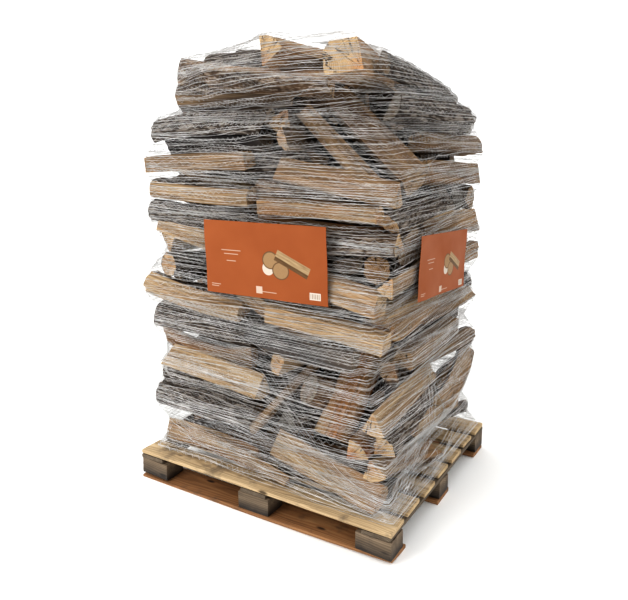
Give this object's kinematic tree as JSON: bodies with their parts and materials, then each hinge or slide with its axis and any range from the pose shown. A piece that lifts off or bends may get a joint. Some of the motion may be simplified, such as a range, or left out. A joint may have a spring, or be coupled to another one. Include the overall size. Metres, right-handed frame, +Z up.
{
  "type": "firewood pallet stack",
  "caption": "Tall stack of split firewood logs on a block pallet, wrapped in stretched open netting, with a plain printed card on the front and on the right side.",
  "frame": {"origin": "centre of the pallet's footprint, on the ground", "axes": "+Z up, +X along the long front side to the viewer's right, +Y from the front side to the back"},
  "size_m": [1.2, 1, 1.8495],
  "materials": {
    "pallet_wood": "rough sawn, weathered",
    "split_wood": "split, dry",
    "bark": "rough bark",
    "loose_logs": "split, dry and weathered",
    "netting": "knitted plastic thread, satin",
    "printed_card": "coated, satin"
  },
  "bodies": {
    "root": {"bearer_centre": "pallet_wood", "bearer_left": "pallet_wood", "bearer_right": "pallet_wood", "block_back_centre": "pallet_wood", "block_back_left": "pallet_wood", "block_back_right": "pallet_wood", "block_front_centre": "pallet_wood", "block_front_left": "pallet_wood", "block_front_right": "pallet_wood", "block_middle_centre": "pallet_wood", "block_middle_left": "pallet_wood", "block_middle_right": "pallet_wood", "card_front": "printed_card", "card_right": "printed_card", "course_1": "loose_logs", "course_2": "loose_logs", "course_3": "loose_logs", "course_4": "loose_logs", "course_5": "loose_logs", "course_6": "loose_logs", "course_7": "loose_logs", "course_8": "loose_logs", "course_9": "loose_logs", "course_heap": "loose_logs", "deck_board_1": "pallet_wood", "deck_board_2": "pallet_wood", "deck_board_3": "pallet_wood", "deck_board_4": "pallet_wood", "deck_board_5": "pallet_wood", "deck_board_6": "pallet_wood", "deck_board_7": "pallet_wood", "log_above_card": "split_wood", "log_bark": "bark", "log_below_card": "split_wood", "log_beside_card": "split_wood", "log_end_low": "split_wood", "log_foot": "split_wood", "log_leaning_narrow": "split_wood", "log_leaning_wide": "split_wood", "log_left_side": "split_wood", "log_pale": "split_wood", "log_right_grey": "split_wood", "log_right_high": "split_wood", "log_right_low": "split_wood", "log_right_pale": "split_wood", "log_right_thin": "split_wood", "log_round_left": "bark", "log_round_upper": "bark", "log_sloping": "split_wood", "log_stick_diagonal": "split_wood", "log_stick_foot": "split_wood", "log_top_block": "split_wood", "log_top_middle": "split_wood", "log_top_round": "bark", "log_upper_left": "split_wood", "net": "netting", "skid_back": "pallet_wood", "skid_front": "pallet_wood", "skid_middle": "pallet_wood"}
  },
  "joints": []
}
